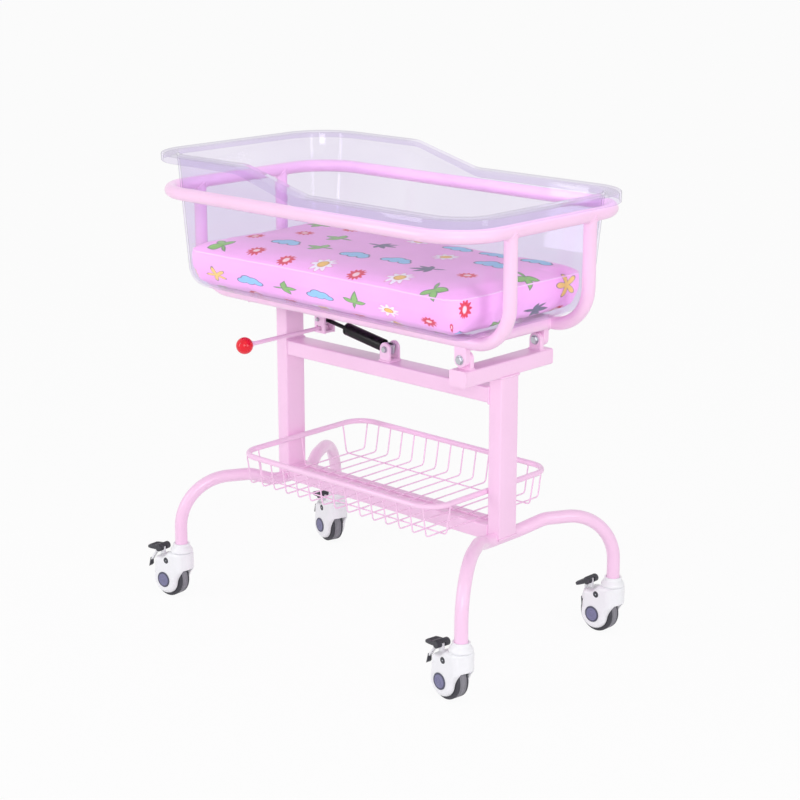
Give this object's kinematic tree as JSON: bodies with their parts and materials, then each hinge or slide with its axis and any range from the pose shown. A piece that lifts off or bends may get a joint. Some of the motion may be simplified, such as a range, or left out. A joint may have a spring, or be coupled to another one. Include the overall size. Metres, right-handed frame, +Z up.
{
  "type": "hospital bassinet",
  "caption": "Clear basin with a mattress in a tube cradle that tilts on a gas spring, over a post frame with a wire basket and splayed legs on braked castors.",
  "frame": {"origin": "on the floor, under the middle of the overall box", "axes": "+Z up, +X towards the foot end with the tilt hinge, +Y towards the side away from the release lever's knob"},
  "size_m": [0.875, 0.513, 0.911],
  "materials": {
    "pink_paint": "gloss powder coat",
    "zinc": "zinc plated",
    "buffer_rubber": "matt",
    "black_paint": "satin black",
    "red_plastic": "polished",
    "clear_plastic": "clear",
    "mattress_cloth": "printed cloth",
    "white_plastic": "semi gloss",
    "dark_plastic": "satin",
    "blue_grey_plastic": "satin",
    "tyre_rubber": "matt tread"
  },
  "bodies": {
    "base": {"leg_tube_head": "pink_paint", "leg_tube_foot": "pink_paint", "post_head": "pink_paint", "post_foot": "pink_paint", "lower_beam": "pink_paint", "upper_beam": "pink_paint", "stop_buffer": "buffer_rubber", "hinge_crossbar": "pink_paint", "crossbar_cap_front": "pink_paint", "crossbar_cap_back": "pink_paint", "hinge_ear_front": "pink_paint", "hinge_ear_back": "pink_paint", "hinge_bolt_front": "zinc", "hinge_bolt_back": "zinc", "gas_spring_clevis": "pink_paint", "clevis_bolt": "zinc", "basket_rim": "pink_paint", "basket_wires": "pink_paint", "castor_head_front_collar": "white_plastic", "castor_foot_front_collar": "white_plastic", "castor_foot_back_collar": "white_plastic", "castor_head_back_collar": "white_plastic"},
    "cradle": {"frame_ring": "pink_paint", "cradle_rail_front": "pink_paint", "cradle_rail_back": "pink_paint", "cross_tube_head": "pink_paint", "cross_tube_release": "pink_paint", "cross_tube_foot": "pink_paint", "hinge_lug_front": "pink_paint", "hinge_lug_back": "pink_paint", "release_bracket": "pink_paint", "bracket_bolt": "zinc", "lever_pin": "zinc"},
    "gas_cylinder": {"gas_spring_cylinder": "black_paint"},
    "gas_rod": {"gas_spring_rod": "black_paint"},
    "release_lever": {"release_lever": "pink_paint", "ball_knob": "red_plastic"},
    "basin": {"basin": "clear_plastic"},
    "mattress": {"mattress": "mattress_cloth"},
    "castor_head_front_swivel": {"castor_head_front_housing": "white_plastic", "castor_head_front_axle": "blue_grey_plastic"},
    "castor_head_front_wheel": {"castor_head_front_tyre": "tyre_rubber", "castor_head_front_hub": "white_plastic"},
    "castor_head_front_pedal": {"castor_head_front_pedal": "dark_plastic"},
    "castor_foot_front_swivel": {"castor_foot_front_housing": "white_plastic", "castor_foot_front_axle": "blue_grey_plastic"},
    "castor_foot_front_wheel": {"castor_foot_front_tyre": "tyre_rubber", "castor_foot_front_hub": "white_plastic"},
    "castor_foot_front_pedal": {"castor_foot_front_pedal": "dark_plastic"},
    "castor_foot_back_swivel": {"castor_foot_back_housing": "white_plastic", "castor_foot_back_axle": "blue_grey_plastic"},
    "castor_foot_back_wheel": {"castor_foot_back_tyre": "tyre_rubber", "castor_foot_back_hub": "white_plastic"},
    "castor_foot_back_pedal": {"castor_foot_back_pedal": "dark_plastic"},
    "castor_head_back_swivel": {"castor_head_back_housing": "white_plastic", "castor_head_back_axle": "blue_grey_plastic"},
    "castor_head_back_wheel": {"castor_head_back_tyre": "tyre_rubber", "castor_head_back_hub": "white_plastic"},
    "castor_head_back_pedal": {"castor_head_back_pedal": "dark_plastic"}
  },
  "joints": [
    {"name": "cradle_tilt", "type": "hinge", "parent": "base", "child": "cradle", "pos_m": [0.31155, -0.00377, 0.5943], "axis": [0, 1, 0], "range_deg": [0, 12]},
    {"name": "gas_cylinder_swing", "type": "hinge", "parent": "base", "child": "gas_cylinder", "pos_m": [0.0295, -0.00377, 0.5473], "axis": [0, 1, 0], "range_deg": [0, 26.6]},
    {"name": "gas_rod_swing", "type": "hinge", "parent": "cradle", "child": "gas_rod", "pos_m": [-0.1525, -0.00377, 0.578], "axis": [0, 1, 0], "range_deg": [0, 14.6]},
    {"name": "release_lever_push", "type": "hinge", "parent": "cradle", "child": "release_lever", "pos_m": [-0.1505, -0.00177, 0.5603], "axis": [0, 0, 1], "range_deg": [0, 6], "stiffness_Nm_per_rad": 4, "springref_deg": -2.86},
    {"name": "basin_lift", "type": "slide", "parent": "cradle", "child": "basin", "axis": [0, 0, 1], "range_m": [0, 0.24]},
    {"name": "mattress_lift", "type": "slide", "parent": "basin", "child": "mattress", "axis": [0, 0, 1], "range_m": [0, 0.28]},
    {"name": "castor_head_front_swivel", "type": "hinge", "parent": "base", "child": "castor_head_front_swivel", "pos_m": [-0.34435, -0.22627, 0.099], "axis": [0, 0, 1], "continuous": true},
    {"name": "castor_head_front_spin", "type": "hinge", "parent": "castor_head_front_swivel", "child": "castor_head_front_wheel", "pos_m": [-0.37424, -0.22889, 0.0375], "axis": [-0.0872, 0.9962, 0], "continuous": true},
    {"name": "castor_head_front_brake", "type": "hinge", "parent": "castor_head_front_swivel", "child": "castor_head_front_pedal", "pos_m": [-0.39765, -0.23093, 0.097], "axis": [-0.0872, 0.9962, 0], "range_deg": [-21, 0]},
    {"name": "castor_foot_front_swivel", "type": "hinge", "parent": "base", "child": "castor_foot_front_swivel", "pos_m": [0.41265, -0.22627, 0.099], "axis": [0, 0, 1], "continuous": true},
    {"name": "castor_foot_front_spin", "type": "hinge", "parent": "castor_foot_front_swivel", "child": "castor_foot_front_wheel", "pos_m": [0.38294, -0.2221, 0.0375], "axis": [0.1392, 0.9903, 0], "continuous": true},
    {"name": "castor_foot_front_brake", "type": "hinge", "parent": "castor_foot_front_swivel", "child": "castor_foot_front_pedal", "pos_m": [0.35967, -0.21882, 0.097], "axis": [0.1392, 0.9903, 0], "range_deg": [-21, 0]},
    {"name": "castor_foot_back_swivel", "type": "hinge", "parent": "base", "child": "castor_foot_back_swivel", "pos_m": [0.41265, 0.21873, 0.099], "axis": [0, 0, 1], "continuous": true},
    {"name": "castor_foot_back_spin", "type": "hinge", "parent": "castor_foot_back_swivel", "child": "castor_foot_back_wheel", "pos_m": [0.38265, 0.21925, 0.0375], "axis": [0.0175, 0.9998, 0], "continuous": true},
    {"name": "castor_foot_back_brake", "type": "hinge", "parent": "castor_foot_back_swivel", "child": "castor_foot_back_pedal", "pos_m": [0.35916, 0.21966, 0.097], "axis": [0.0175, 0.9998, 0], "range_deg": [0, 21]},
    {"name": "castor_head_back_swivel", "type": "hinge", "parent": "base", "child": "castor_head_back_swivel", "pos_m": [-0.34435, 0.21873, 0.099], "axis": [0, 0, 1], "continuous": true},
    {"name": "castor_head_back_spin", "type": "hinge", "parent": "castor_head_back_swivel", "child": "castor_head_back_wheel", "pos_m": [-0.37333, 0.22649, 0.0375], "axis": [0.2588, 0.9659, 0], "continuous": true},
    {"name": "castor_head_back_brake", "type": "hinge", "parent": "castor_head_back_swivel", "child": "castor_head_back_pedal", "pos_m": [-0.39603, 0.23258, 0.097], "axis": [0.2588, 0.9659, 0], "range_deg": [-21, 0]}
  ],
  "couplings": [
    {"joint": "gas_cylinder_swing", "follows": "cradle_tilt", "ratio": 2.206},
    {"joint": "gas_rod_swing", "follows": "cradle_tilt", "ratio": 1.206}
  ]
}
